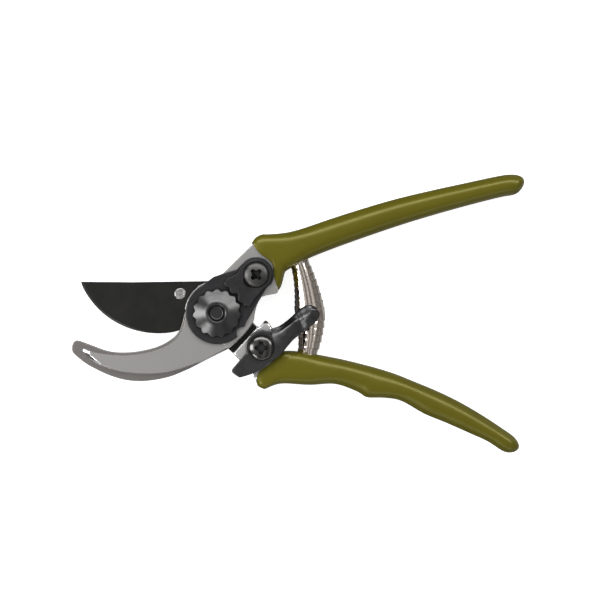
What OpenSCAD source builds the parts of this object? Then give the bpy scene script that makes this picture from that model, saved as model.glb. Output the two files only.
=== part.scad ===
// Bypass pruner, lying flat with its jaws open.
// X runs from the jaws to the grips, Y across the tool, Z up through the pivot bolt.
// The origin is on the bolt's axis, on the back face of the bolt's head.

/* [Pivot] */
// Radius of the pivot bolt's shank
bolt_r = 4; // [3.5:0.1:4.2]
// Running clearance between a shaft and its hole, on the radius
fit_gap = 0.05; // [0.02:0.01:0.1]
// Gap between flat faces that slide on each other
face_gap = 0.05; // [0.02:0.01:0.1]
// Radius of the bolt's head
bolt_head_r = 8; // [7:0.5:9]
// Height of the bolt's head
bolt_head_h = 3; // [2.5:0.1:3.5]
// Thickness of the washer under the bolt's head
bolt_washer_t = 0.8; // [0.6:0.1:1]

/* [Layers] */
// Thickness of the lower handle's head, behind the blade
head_t = 4.15; // [3.8:0.05:4.5]
// Thickness of the blade
blade_t = 3.15; // [2.8:0.05:3.4]
// Thickness of the hook's outer band
band_t = 3.3; // [3:0.1:3.6]
// Full thickness of the hook and of its head
hook_t = 4.8; // [4.4:0.1:5]
// Thickness of the cover plate
plate_t = 1.4; // [1.2:0.1:1.6]

/* [Nut and segment] */
// Teeth round the nut
nut_teeth = 15; // [12:1:18]
// Mean radius of the nut's toothed edge
nut_r = 10.55; // [10.2:0.05:10.7]
// Height of a tooth above that radius
tooth_h = 0.55; // [0.4:0.05:0.6]
// Height of the nut
nut_h = 4.6; // [4:0.1:5]
// Radius of the recess round the bolt's end
nut_recess_r = 4.7; // [4.2:0.1:5]
// Thickness of the locking segment
segment_t = 2; // [1.8:0.1:2.2]

/* [Screws] */
// Radius of both cross-recess heads
screw_head_r = 5.6; // [5.2:0.1:5.8]
// Height of both cross-recess heads
screw_head_h = 2.6; // [2.2:0.1:2.8]
// Radius of both screws' shanks
screw_r = 3; // [2.5:0.1:3]

/* [Grips] */
// Height of the grips
grip_h = 17; // [16:0.5:17]
// Share of the grip's width that the tang inside it takes
tang_share = 0.6; // [0.5:0.05:0.65]
// Thickness of the tangs
tang_t = 9; // [8:0.5:10]

/* [Thumb catch] */
// Thickness of the catch's flat body and tail
catch_t = 2.6; // [2.4:0.1:2.8]
// Radius of the catch's boss
catch_boss_r = 7; // [6.6:0.1:7.2]
// Height of the knob's centre above the rest plane
knob_z = 22.3; // [22:0.1:23]
// Gap between the tail and the cover plate
tail_gap = 0.3; // [0.2:0.05:0.5]

/* [Spring] */
// Distance of the spring's upper end from the pivot
spring_top_r = 43.1; // [42.6:0.1:43.4]
// How much further out the lower end is
spring_lean = 1; // [0.8:0.1:1.5]
// How far the middle is drawn in
spring_dip = 2.6; // [2:0.1:2.8]
// Turns of strip from one end to the other
spring_turns = 14; // [11:1:14]
// Radius of the end turns
spring_end_r = 4; // [3.8:0.1:4.1]
// Radius of the middle turn
spring_mid_r = 6.75; // [6:0.05:6.8]
// Width of the strip
strip_w = 5.2; // [4.5:0.1:5.4]
// Thickness of the strip
strip_t = 0.3; // [0.25:0.05:0.35]

/* [Hidden] */
$fn = 64;

// Levels, from the back of the bolt's head to the front
z_washer = bolt_head_h;
z_head = z_washer + bolt_washer_t + face_gap;
z_blade = z_head + head_t;
z_hook = z_blade + blade_t + face_gap;
z_band = z_hook + band_t;
z_plate = z_hook + hook_t;
z_nut = z_plate + plate_t;
z_arm = 4;
z_grip = grip_h / 2;
z_tang = z_grip - tang_t / 2;
z_tail = z_nut + tail_gap;
z_boss = 15;

// Places in plan
segment_at = [17.6, 17.2];
catch_at = [19.9, -15.5];
knob_at = [41.5, -0.9];
rivet_at = [-16.8, 8.7];
rivet_r = 2.5;
bushing_t = 0.9;
hook_head_r = 14.6;
plate_r = 14;
block_r = 16.5;
seat_r = 2.3;
seat_top_deg = 30.6;
seat_low_deg = -23.2;
catch_washer_t = 0.6;

// A point at radius r and angle a, and the point that far from another one
function polar(r, a) = [r * cos(a), r * sin(a)];

// Points of an arc about the origin, both ends included
function arc(r, a0, a1, n = 16) = [for (i = [0:n]) polar(r, a0 + (a1 - a0) * i / n)];

// Points of an arc about another centre
function arc_at(c, r, a0, a1, n = 16) = [for (p = arc(r, a0, a1, n)) c + p];

// A value on the smooth curve through four neighbours, between the two in the middle
function bend(a, b, c, d, t) =
    0.5 * (2 * b + (c - a) * t + (2 * a - 5 * b + 4 * c - d) * t * t
        + (3 * b - a - 3 * c + d) * t * t * t);

// The smooth curve through a list of points, with n steps between neighbours
function curve(p, n = 6) = let (k = len(p) - 1) concat(
    [for (i = [0:k - 1], j = [0:n - 1])
        bend(p[max(i - 1, 0)], p[i], p[i + 1], p[min(i + 2, k)], j / n)],
    [p[k]]);

// Outline of the hook: its cutting hollow from the tip to the head, then its back
hook_hollow = curve([
    [-65.4, -16.4], [-64.9, -13.6], [-62.8, -12.2], [-57, -14.3], [-48, -17.3], [-38.7, -17.6],
    [-29, -15.8], [-22, -12.7], [-17.2, -8.2], [-14.6, 0]
]);
hook_back = curve([
    [16.1, -4.2], [13.2, -8.5], [9.6, -12.2], [4.9, -16.1], [-5, -21.1], [-14.1, -25.7],
    [-23.3, -29.1], [-34.8, -30.6], [-45.5, -29], [-57, -23.9], [-63.6, -19], [-65.4, -16.4]
]);

// Outline of the raised face: the same hollow, and a back that leaves the band free
face_back = curve([
    [16.1, -4.2], [13.2, -8.5], [9.6, -12.2], [4.9, -16.1], [-5, -21.1], [-11.8, -23.8],
    [-23.3, -26.6], [-34.8, -27.5], [-44, -26], [-51.8, -23.1], [-56.6, -20.2], [-59.6, -17.6],
    [-59.6, -15.8], [-57, -15.6]
]);

// Outline of the arm, from the head's left side round the upper grip's end to the lug
arm_side = [[-8.6, 12.2], [-1.5, 15.4], [2.5, 17.7], [15.3, 30.1], [20, 34]];
lug_side = [[33.5, 22.4], [29, 20], [27.4, 10.4], [26.6, 8.8], [22.3, 8], [19.9, 7.2]];
lug_root = curve([[19.9, 7.2], [18, 3.9], [16.9, 0], [16.1, -4.2]], 4);

// Stations of the grips: a point on the upper edge, one on the lower edge and a share of the height
upper_stations = [
    [[14.6, 31.2], [27.4, 9.4], 0.86],
    [[17.2, 34], [28.8, 11.9], 0.97],
    [[20, 35.5], [30.4, 18.6], 1],
    [[27.3, 35.8], [35.3, 21.6], 1],
    [[36.3, 37.5], [43.4, 25.6], 0.98],
    [[54, 43.5], [59.8, 31.8], 0.96],
    [[76.9, 50.5], [81.3, 39.2], 0.94],
    [[94.7, 54.9], [98.6, 44.5], 0.94],
    [[112.5, 58.8], [115.6, 49.2], 0.96],
    [[126, 61.7], [128, 52.3], 0.99],
    [[131.8, 62.5], [133.4, 53.2], 0.97],
    [[135.4, 62.2], [136, 54.6], 0.84],
    [[137.5, 61.2], [137.6, 56.7], 0.58],
    [[138.4, 59.9], [138.4, 58.2], 0.25]
];
lower_stations = [
    [[28.2, -17.4], [17, -28.9], 0.86],
    [[30.4, -17.1], [18, -32.4], 0.97],
    [[34.2, -17.1], [21.4, -34.4], 1],
    [[38.5, -17.6], [28.6, -31.8], 1],
    [[45.3, -18.8], [41.5, -32.5], 0.98],
    [[56.3, -20.9], [53, -32], 0.96],
    [[67.3, -23.6], [63, -35.5], 0.95],
    [[72.4, -25], [67.4, -38.1], 0.95],
    [[80, -27.4], [75.2, -38.3], 0.95],
    [[88, -30.6], [83, -39.7], 0.95],
    [[98.6, -35], [93, -45.4], 0.95],
    [[109, -40], [103, -49.5], 0.96],
    [[119.6, -46.2], [113.6, -54.2], 0.97],
    [[127.2, -51.2], [121.8, -57.9], 0.98],
    [[132.6, -54.9], [127.4, -61.6], 0.94],
    [[134.9, -57.2], [130.4, -62.9], 0.82],
    [[136.1, -59.5], [133, -63], 0.58],
    [[136, -61.1], [134.6, -62.4], 0.25]
];

// Where the olive ends and the bare metal starts: the metal is on the left of this line
upper_border = curve([
    [14.4, 33.5], [16.4, 30.2], [19.3, 26.5], [22.8, 24.2], [25.3, 21.3], [25.5, 16.8],
    [26.6, 13], [27.6, 8]
], 4);
lower_border = curve([
    [15.6, -31.4], [17.8, -29.2], [18.4, -26.8], [20.8, -24.8], [24, -22.6], [27, -19.6],
    [28.8, -15.6]
], 4);

// Outline of the lower arm in front of the blade's heel, with the foot of the stop
shoulder = [[7.2, -17.9], [17.9, -6.4]];
stop_foot = [[18.6, -6.3], [19.3, -5.9], [20.6, -4.4], [22.9, -4.4], [25.2, -7.8]];
arm_end = [[27.6, -12.5], [29.8, -17.6], [33, -20], [24, -31], [17.9, -30.2]];

// Outline of the blade: spine, head and cutting edge
blade_edge = curve([
    [-61.5, 14.1], [-60.4, 11], [-57.4, 6.2], [-53, 1.2], [-47.4, -3.2], [-40.6, -6.6],
    [-33.9, -8.5], [-27.1, -9.2], [-20.4, -8.7], [-14.5, -7]
]);
blade_spine = [[-4.1, 14.4], [-38, 13.9], [-61.2, 14.2]];
heel = [[4.7, -15.9], [6.9, -18], [17.6, -6.5], [15.8, -4.2]];

// A flat piece from an outline
module slab(outline, z0, z1) {
    translate([0, 0, z0]) linear_extrude(z1 - z0) polygon(outline);
}

// A cylinder between two levels about a point in plan
module post(at, r, z0, z1) {
    translate([at[0], at[1], z0]) cylinder(r = r, h = z1 - z0);
}

// A ring between two levels about a point in plan
module ring(at, r_out, r_in, z0, z1) {
    difference() {
        post(at, r_out, z0, z1);
        post(at, r_in, z0 - 1, z1 + 1);
    }
}

// One ring of a grip: a rounded section across the grip at a station
grip_sides = 24;
function squircle(a) = pow(pow(abs(cos(a)), 2.4) + pow(abs(sin(a)), 2.4), -1 / 2.4);
function grip_ring(t, b, share) = [
    for (i = [0:grip_sides - 1]) let (a = 360 * i / grip_sides, s = squircle(a),
        p = (t + b) / 2 + (t - b) / 2 * s * cos(a))
    [p[0], p[1], z_grip + share * grip_h / 2 * s * sin(a)]
];

// The solid skin over a list of rings, closed at both ends
module skin(rings) {
    n = len(rings[0]);
    k = len(rings);
    polyhedron(
        points = [for (r = rings) each r],
        faces = concat(
            [[for (i = [0:n - 1]) i]],
            [for (j = [0:k - 2], i = [0:n - 1])
                [j * n + i, (j + 1) * n + i, (j + 1) * n + (i + 1) % n, j * n + (i + 1) % n]],
            [[for (i = [n - 1:-1:0]) (k - 1) * n + i]]),
        convexity = 6);
}

// The outer shape of a grip
module grip_form(stations) {
    t = curve([for (s = stations) s[0]], 3);
    b = curve([for (s = stations) s[1]], 3);
    h = curve([for (s = stations) s[2]], 3);
    skin([for (i = [0:len(t) - 1]) grip_ring(t[i], b[i], h[i])]);
}

// The bar of metal inside a grip, a share as wide as the grip and short of its end
module tang(stations) {
    inner = [for (i = [2:len(stations) - 4]) stations[i]];
    side = [for (s = inner) (s[0] + s[1]) / 2 + (s[0] - s[1]) / 2 * tang_share];
    back = [for (s = inner) (s[0] + s[1]) / 2 - (s[0] - s[1]) / 2 * tang_share];
    slab(concat(side, [for (i = [len(back) - 1:-1:0]) back[i]]), z_tang, z_tang + tang_t);
}

// Distance of the spring's middle line from the pivot, u of the way from top to bottom
function spring_r(u) =
    spring_top_r + spring_lean * u - spring_dip * (1 - 0.35 * u) * sin(180 * u);

// The peg that holds one end of the spring, from start to end along the spring's middle line
module seat(u, start, end, r = seat_r) {
    at_deg = u == 0 ? seat_top_deg : seat_low_deg;
    translate([spring_r(u) * cos(at_deg), spring_r(u) * sin(at_deg), z_grip])
        rotate([0, 0, at_deg]) rotate([-90, 0, 0]) translate([0, 0, start])
            cylinder(r = r, h = end - start);
}

// A domed screw with a cross recess, its head standing on level z
module cross_screw(at, z, length, turn) {
    recess_w = 1.5;
    recess_l = 6;
    translate([at[0], at[1], z]) rotate([0, 0, turn]) difference() {
        union() {
            rotate_extrude() polygon(concat(
                [[0, 0], [screw_head_r, 0], [screw_head_r, 0.7]],
                [for (i = [1:8]) let (a = 90 * i / 8)
                    [screw_head_r * cos(a), 0.7 + (screw_head_h - 0.7) * sin(a)]]));
            translate([0, 0, -length]) cylinder(r = screw_r, h = length + 0.1);
        }
        for (a = [0, 90]) rotate([0, 0, a])
            translate([-recess_l / 2, -recess_w / 2, 0.6]) cube([recess_l, recess_w, 3]);
    }
}

// The arm's solid block behind the front layer, clear of the turning heads
module arm_block() {
    slab(concat(arc(block_r, 70, 24), [[22.3, 8]], [for (i = [3:-1:0]) lug_side[i]],
        [[20, 34], [15.3, 30.1], [7.6, 22.6]]), z_arm, z_plate);
}

// The silver upper half: hook, head, arm, tang and the spring's upper peg
module hook_body() {
    head = concat(hook_hollow, arc(hook_head_r, 176, 126), arm_side, lug_side);
    color("silver") difference() {
        union() {
            slab(concat(head, lug_root, hook_back), z_hook, z_band);
            slab(concat([for (i = [21:len(hook_hollow) - 1]) hook_hollow[i]],
                arc(hook_head_r, 176, 126), arm_side, lug_side, lug_root, face_back),
                z_band, z_plate);
            arm_block();
            tang(upper_stations);
            seat(0, -5, 6);
        }
        post([0, 0], bolt_r, 0, z_nut);
        post(segment_at, screw_r, 8, z_nut);
    }
}

// The olive dip over the upper tang
module upper_grip() {
    color("olive") difference() {
        grip_form(upper_stations);
        slab(concat(upper_border, [[10, 8], [10, 33.5]]), -1, grip_h + 1);
        slab(concat(lug_side, [[19, 20], [15.3, 30.1], [20, 34]]), z_arm, z_plate);
        tang(upper_stations);
        seat(0, -8, 6);
    }
}

// The bolt: head at the back, shank, and a thinner threaded end in the nut
module pivot_bolt() {
    chamfer = 0.5;
    end_z = z_nut + nut_h - 1;
    color("dimgray") rotate_extrude() polygon([
        [0, 0], [bolt_head_r - chamfer, 0], [bolt_head_r, chamfer], [bolt_head_r, bolt_head_h],
        [bolt_r, bolt_head_h], [bolt_r, z_plate], [screw_r, z_plate],
        [screw_r, end_z - chamfer], [screw_r - chamfer, end_z], [0, end_z]
    ]);
}

// The washer between the bolt's head and the lower handle
module bolt_washer() {
    color("gray") ring([0, 0], bolt_head_r + 1, bolt_r, z_washer, z_washer + bolt_washer_t);
}

// Radius of the toothed edge at angle a, with a tooth pointing at +Y
function toothed_r(a, gap = 0) = nut_r + gap + tooth_h * cos(nut_teeth * (a - 90));

// The domed nut with its rounded teeth
module toothed_nut() {
    top = z_nut + nut_h;
    steps = nut_teeth * 8;
    color("black") difference() {
        intersection() {
            slab([for (i = [0:steps - 1]) polar(toothed_r(360 * i / steps), 360 * i / steps)],
                z_nut, top);
            rotate_extrude() polygon([
                [0, z_nut], [12, z_nut], [12, z_nut + 1], [10.6, z_nut + 2.2],
                [9.3, z_nut + 3.3], [7.6, z_nut + 4.2], [6.2, top], [0, top]
            ]);
        }
        post([0, 0], screw_r, z_plate, top + 1);
        post([0, 0], nut_recess_r, top - 1.6, top + 1);
    }
}

// The teardrop plate with the catch's notch
module cover_plate() {
    outline = concat(
        arc(plate_r, 119, 325.6, 40),
        [[13.1, -3.9], [16.7, 2.1], [22.2, 11.3]],
        arc_at(segment_at, 7.9, -30, 128, 16),
        [[8.9, 19.6], [3, 17.8], [-1.6, 16.2]]);
    color("black") difference() {
        slab(outline, z_plate, z_nut);
        post([0, 0], screw_r, 0, z_nut + 1);
        post(segment_at, screw_r, 0, z_nut + 1);
        slab(curve([[15, -5.2], [12.2, -6.1], [10.4, -6.6], [9.3, -7.3], [8.8, -8.5], [8.9, -9.7],
            [9.6, -11.3], [11, -14]], 3), z_plate - 1, z_nut + 1);
    }
}

// The black segment whose teeth hold the nut
module locking_segment() {
    gap = 0.25;
    body = concat(
        [for (a = [76:-2:18]) polar(toothed_r(a, gap), a)],
        [[14.3, 3.2], [16.4, 5.6], [21.6, 11.4]],
        arc_at(segment_at, 7, -48, 130, 14),
        [[8.9, 17.6], [5.3, 15.1]]);
    pocket_shift = 1.3 * [-cos(45), -sin(45)];
    color("black") difference() {
        slab(body, z_nut, z_nut + segment_t);
        post(segment_at, screw_r, 0, z_nut + 9);
        for (shift = [[0, 0], pocket_shift])
            post(segment_at + shift, screw_head_r + 0.3, z_nut + segment_t - 0.8, z_nut + 9);
    }
}

// The washer under the segment screw's head, in the segment's pocket
module segment_washer() {
    floor_z = z_nut + segment_t - 0.8;
    color("gray") ring(segment_at, screw_head_r - 0.4, screw_r, floor_z, floor_z + 0.5);
}

// The screw that holds the segment and the plate on the arm
module segment_screw() {
    color("dimgray") cross_screw(segment_at, z_nut + segment_t - 0.3, 11, 45);
}

// The blade with its round head and the heel against the lower handle's shoulder
module blade() {
    color("dimgray") difference() {
        slab(concat(blade_edge, arc(hook_head_r - 0.2, 206, 247), heel,
            arc(hook_head_r - 0.2, -10, 104), blade_spine), z_blade, z_blade + blade_t);
        post([0, 0], bolt_r + bushing_t, 0, z_hook + 1);
        post(rivet_at, rivet_r, 0, z_hook + 1);
    }
}

// The rivet through the blade and the handle's ear
module blade_rivet() {
    color("silver") post(rivet_at, rivet_r, z_head, z_blade + blade_t);
}

// The sleeve that the blade and the lower handle turn on
module pivot_bushing() {
    color("goldenrod") ring([0, 0], bolt_r + bushing_t, bolt_r + fit_gap, z_head,
        z_blade + blade_t);
}

// The silver lower half: head and ear behind the blade, arm, tang and the spring's lower peg
module lower_handle() {
    ear_r = 5;
    head_r = 15;
    ear_deg = atan2(rivet_at[1], rivet_at[0]);
    color("silver") difference() {
        union() {
            slab(concat([[8.6, -19.4], [19.8, -7.8], [18.6, -6.2], [17.2, -5.6], [16, -4.2], [15.3, -2.4]],
                arc(head_r, -4, 126, 24),
                arc_at(rivet_at, ear_r, 70, 238, 14), arc(head_r, 184, 290, 20)),
                z_head, z_blade);
            slab(concat(shoulder, stop_foot, arm_end), z_head, z_boss);
            tang(lower_stations);
            seat(1, -6, 5);
        }
        post([0, 0], bolt_r + bushing_t, 0, z_hook);
        post(rivet_at, rivet_r, 0, z_hook);
        post(catch_at, screw_r, 6, z_nut);
    }
}

// The olive dip over the lower tang, with its finger grooves
module lower_grip() {
    color("olive") difference() {
        grip_form(lower_stations);
        slab(concat(lower_border, [[22, -5], [2, -20], [10, -34]]), -1, grip_h + 1);
        slab(concat(shoulder, stop_foot, arm_end), z_head, z_boss);
        tang(lower_stations);
        seat(1, -6, 8);
    }
}

// The rubber tip on the stop
module stop_buffer() {
    color("black") slab([[20.6, -4.4], [21, -3.7], [21.7, -3.4], [22.4, -3.7], [22.9, -4.4]],
        z_head + 2, z_boss - 2);
}

// The spring washer under the catch
module catch_washer() {
    color("gray") ring(catch_at, catch_boss_r - 1.5, screw_r, z_boss, z_boss + catch_washer_t);
}

// The screw that the catch turns on
module catch_screw() {
    color("dimgray") cross_screw(catch_at, z_tail + catch_t + face_gap, 13, 0);
}

// The thumb catch: flat body and tail, boss, rising lever and knob
module thumb_catch() {
    body = concat(
        curve([[29.1, -4.6], [25.9, -7.3], [23.5, -8], [20, -7.5], [16.4, -8.8], [14.4, -11.2],
            [13.4, -14.4], [13.2, -17.8]], 4),
        [[10, -21.4]],
        curve([[6.9, -25], [6.8, -26.4], [9.5, -28.5], [11.4, -28.6], [18.1, -26.2],
            [22.4, -23], [28.4, -18.9], [31.9, -14.4]], 4));
    lever_end = z_tail + catch_t;
    color("black") difference() {
        union() {
            slab(body, z_tail, z_tail + catch_t);
            post(catch_at, catch_boss_r, z_boss + catch_washer_t + face_gap, z_tail + 0.1);
            hull() {
                slab([[31.4, -14.8], [29, -4.8], [26.4, -7], [28.4, -18.4]], z_tail, lever_end);
                slab([[38.2, -8.8], [35.1, -1], [33.6, -2.2], [36.6, -10.4]], z_tail + 0.6,
                    lever_end + 1.6);
            }
            hull() {
                slab([[38.2, -8.8], [35.1, -1], [33.6, -2.2], [36.6, -10.4]], z_tail + 0.6,
                    lever_end + 1.6);
                translate([knob_at[0], knob_at[1], knob_z]) scale([1, 1, 0.8])
                    sphere(r = 4.7, $fn = 32);
            }
        }
        post(catch_at, screw_r + fit_gap, 0, z_tail + 9);
    }
}

// The double volute: a flat strip wound out to the middle turn and in again
module spring() {
    steps = 20;
    total = spring_turns * steps;
    end_gap = 0.7;
    span = (seat_top_deg - seat_low_deg) * PI / 180 * spring_top_r;
    half_w = strip_w / 2;
    run = span - strip_w - 2 * end_gap;
    rings = [for (i = [0:total]) let (
        w = i / total,
        r = spring_end_r + (spring_mid_r - spring_end_r) * (1 - abs(1 - 2 * pow(w, 1.2))),
        turn = 360 * i / steps)
        [for (c = [[-1, -1], [1, -1], [1, 1], [-1, 1]]) let (
            rho = r + c[0] * strip_t / 2,
            u = (end_gap + half_w + run * w + c[1] * half_w) / span,
            p = polar(spring_r(u) + rho * cos(turn), seat_top_deg - u * (seat_top_deg - seat_low_deg)))
            [p[0], p[1], z_grip + rho * sin(turn)]]];
    color("gainsboro") skin(rings);
}

hook_body();
upper_grip();
pivot_bolt();
toothed_nut();
cover_plate();
locking_segment();
segment_screw();
segment_washer();
bolt_washer();
spring();
blade();
blade_rivet();
lower_handle();
lower_grip();
stop_buffer();
pivot_bushing();
catch_screw();
catch_washer();
thumb_catch();
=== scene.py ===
import math

import bmesh
import bpy
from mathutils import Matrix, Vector
from mathutils.geometry import tessellate_polygon


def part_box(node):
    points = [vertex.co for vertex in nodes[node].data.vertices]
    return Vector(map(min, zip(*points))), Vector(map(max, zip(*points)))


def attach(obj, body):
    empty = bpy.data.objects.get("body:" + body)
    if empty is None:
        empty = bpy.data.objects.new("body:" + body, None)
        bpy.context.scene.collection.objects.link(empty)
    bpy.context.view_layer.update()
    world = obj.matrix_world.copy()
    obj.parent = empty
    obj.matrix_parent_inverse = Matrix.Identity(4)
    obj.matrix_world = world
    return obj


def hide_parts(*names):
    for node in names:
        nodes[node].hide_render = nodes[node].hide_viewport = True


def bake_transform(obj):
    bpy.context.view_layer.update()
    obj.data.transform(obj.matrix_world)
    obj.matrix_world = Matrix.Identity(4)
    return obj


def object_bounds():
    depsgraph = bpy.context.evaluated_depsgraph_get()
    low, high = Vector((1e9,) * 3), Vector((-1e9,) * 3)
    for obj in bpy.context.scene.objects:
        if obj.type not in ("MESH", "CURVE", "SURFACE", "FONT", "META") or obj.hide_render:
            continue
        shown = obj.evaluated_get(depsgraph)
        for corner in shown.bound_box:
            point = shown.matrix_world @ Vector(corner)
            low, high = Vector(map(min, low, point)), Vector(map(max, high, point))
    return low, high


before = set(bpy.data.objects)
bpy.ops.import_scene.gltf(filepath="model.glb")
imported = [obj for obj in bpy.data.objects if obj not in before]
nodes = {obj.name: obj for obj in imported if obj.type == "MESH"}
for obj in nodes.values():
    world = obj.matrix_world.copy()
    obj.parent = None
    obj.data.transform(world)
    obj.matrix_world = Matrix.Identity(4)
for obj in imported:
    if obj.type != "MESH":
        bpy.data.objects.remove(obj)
cad_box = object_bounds()

# Lengths in the shape lists are millimetres; MM turns them into the frame's metres.
MM = 0.001
PIVOT = (0.0, 0.0)

# Levels of the layers, read from the frame
Z_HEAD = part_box("lower_handle")[0][2] / MM
Z_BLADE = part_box("blade")[0][2] / MM
BLADE_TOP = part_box("blade")[1][2] / MM
Z_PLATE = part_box("cover_plate")[0][2] / MM
Z_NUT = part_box("cover_plate")[1][2] / MM
NUT_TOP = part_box("toothed_nut")[1][2] / MM
SEGMENT_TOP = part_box("locking_segment")[1][2] / MM
BOSS_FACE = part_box("catch_washer")[0][2] / MM
FACE_GAP = 0.05
BAND_H = 3.3
Z_HOOK = BLADE_TOP + FACE_GAP
Z_BAND = Z_HOOK + BAND_H
Z_GRIP = 8.5
Z_ARM = 4.0


def centre_of(node):
    """Plan centre of a CAD node, in millimetres."""
    low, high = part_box(node)
    return ((low[0] + high[0]) / 2 / MM, (low[1] + high[1]) / 2 / MM)


SEGMENT_AT = centre_of("segment_screw")
CATCH_AT = centre_of("catch_screw")


# ---------------------------------------------------------------- curves

def bend(a, b, c, d, t):
    """Value on the smooth curve through a, b, c, d, between b and c."""
    return 0.5 * (2 * b + (c - a) * t + (2 * a - 5 * b + 4 * c - d) * t * t
                  + (3 * b - a - 3 * c + d) * t ** 3)


def curve(points, steps=8):
    """The smooth curve through a list of points of any dimension."""
    last = len(points) - 1
    out = []
    for i in range(last):
        a, b = points[max(i - 1, 0)], points[i]
        c, d = points[i + 1], points[min(i + 2, last)]
        for j in range(steps):
            out.append(tuple(bend(p, q, r, s, j / steps) for p, q, r, s in zip(a, b, c, d)))
    out.append(tuple(points[last]))
    return out


def polar(radius, degrees, centre=PIVOT):
    """The point in plan at a radius and an angle about a centre."""
    a = math.radians(degrees)
    return (centre[0] + radius * math.cos(a), centre[1] + radius * math.sin(a))


def arc(radius, start, end, count=24, centre=PIVOT):
    """count + 1 points on an arc between two angles."""
    return [polar(radius, start + (end - start) * i / count, centre) for i in range(count + 1)]


def resample(points, spacing):
    """The same outline, closed, with points about one spacing apart and its corners kept."""
    out = []
    for i, p in enumerate(points):
        q = points[(i + 1) % len(points)]
        pieces = max(1, round(math.dist(p, q) / spacing))
        for j in range(pieces):
            f = j / pieces
            out.append((p[0] + (q[0] - p[0]) * f, p[1] + (q[1] - p[1]) * f))
    return out


def signed_area(points):
    """Area of a closed outline, negative if it runs clockwise."""
    return sum(p[0] * q[1] - q[0] * p[1] for p, q in zip(points, points[1:] + points[:1])) / 2


def inset(points, amounts):
    """A closed counter-clockwise outline moved inwards by one amount a point."""
    out = []
    for i, p in enumerate(points):
        a, b = points[i - 1], points[(i + 1) % len(points)]
        u = Vector((p[0] - a[0], p[1] - a[1])).normalized()
        v = Vector((b[0] - p[0], b[1] - p[1])).normalized()
        n = Vector((-u.y, u.x)) + Vector((-v.y, v.x))
        n = n.normalized() if n.length > 1e-6 else Vector((-u.y, u.x))
        reach = amounts[i] / max(0.5, n.dot(Vector((-u.y, u.x))))
        out.append((p[0] + n.x * reach, p[1] + n.y * reach))
    return out


def distance(p, line):
    """Distance in plan from p to a line of points."""
    best = 1e9
    for a, b in zip(line, line[1:]):
        ab = (b[0] - a[0], b[1] - a[1])
        length = ab[0] ** 2 + ab[1] ** 2
        t = ((p[0] - a[0]) * ab[0] + (p[1] - a[1]) * ab[1]) / length if length else 0
        t = min(1.0, max(0.0, t))
        best = min(best, math.dist(p, (a[0] + ab[0] * t, a[1] + ab[1] * t)))
    return best


def smoothstep(low, high, x):
    """0 before low, 1 after high and a soft step between."""
    t = min(1.0, max(0.0, (x - low) / (high - low)))
    return t * t * (3 - 2 * t)


# ---------------------------------------------------------------- meshes

def make(name, points, faces, sharp=35):
    """A mesh object from millimetre points, shaded smooth up to the sharp angle."""
    mesh = bpy.data.meshes.new(name)
    mesh.from_pydata([tuple(c * MM for c in p) for p in points], [], faces)
    mesh.validate()
    work = bmesh.new()
    work.from_mesh(mesh)
    bmesh.ops.remove_doubles(work, verts=work.verts, dist=1e-6)
    bmesh.ops.recalc_face_normals(work, faces=work.faces)
    work.to_mesh(mesh)
    work.free()
    obj = bpy.data.objects.new(name, mesh)
    bpy.context.scene.collection.objects.link(obj)
    shade(obj, sharp)
    return obj


def shade(obj, sharp=35):
    """Smooth shading up to the sharp angle, in degrees."""
    for polygon in obj.data.polygons:
        polygon.use_smooth = True
    obj.data.set_sharp_from_angle(angle=math.radians(sharp))


def cap(ring, points, upwards):
    """Faces that fill a ring of point numbers: triangles if it lies level, else one face."""
    levels = [points[i][2] for i in ring]
    if max(levels) - min(levels) > 0.5:
        return [tuple(ring if upwards else ring[::-1])]
    flat = [Vector((points[i][0], points[i][1], 0)) for i in ring]
    fill = [[ring[k] for k in tri] for tri in tessellate_polygon([flat])]
    return fill if upwards else [tri[::-1] for tri in fill]


def stack(rings, close_low=True, close_high=True):
    """Points and faces of a skin over rings that all have the same number of points."""
    n = len(rings[0])
    points = [p for ring in rings for p in ring]
    faces = []
    for j in range(len(rings) - 1):
        for i in range(n):
            k = (i + 1) % n
            faces.append((j * n + i, j * n + k, (j + 1) * n + k, (j + 1) * n + i))
    last = (len(rings) - 1) * n
    if close_low:
        faces += cap(list(range(n)), points, False)
    if close_high:
        faces += cap(list(range(last, last + n)), points, True)
    return points, faces


def round_profile(z0, z1, low, high, steps=3):
    """Insets and levels of a flat piece's edge: rounded by low at z0 and by high at z1."""
    out = []
    for i in range(steps + 1):
        a = math.radians(90 * i / steps)
        out.append((low * (1 - math.sin(a)), z0 + low * (1 - math.cos(a))))
    for i in range(steps + 1):
        a = math.radians(90 * i / steps)
        out.append((high * (1 - math.cos(a)), z1 - high * (1 - math.sin(a))))
    return out


def plate(name, outline, profile, spacing=0.6, sharp=35, hold=0.25):
    """A flat piece: its outline stacked up at the insets and levels of its edge profile.
    An inset or a level may be a function of the place in plan. A ring just inside each
    face keeps the edge's shading off the flat."""
    if signed_area(outline) < 0:
        outline = outline[::-1]
    outline = resample(outline, spacing)
    rings = []
    holds = [hold] + [0] * len(profile) + [hold]
    for (depth, level), more in zip([profile[0]] + profile + [profile[-1]], holds):
        amounts = [(depth(p) if callable(depth) else depth) + more for p in outline]
        moved = inset(outline, amounts)
        rings.append([(q[0], q[1], level(p) if callable(level) else level)
                      for p, q in zip(outline, moved)])
    obj = make(name, *stack(rings), sharp=sharp)
    weight_normals(obj)
    return obj


def weight_normals(obj):
    """Lets the large faces set the shading beside small ones."""
    m = obj.modifiers.new("weighted", "WEIGHTED_NORMAL")
    m.keep_sharp = True
    m.weight = 80


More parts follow.
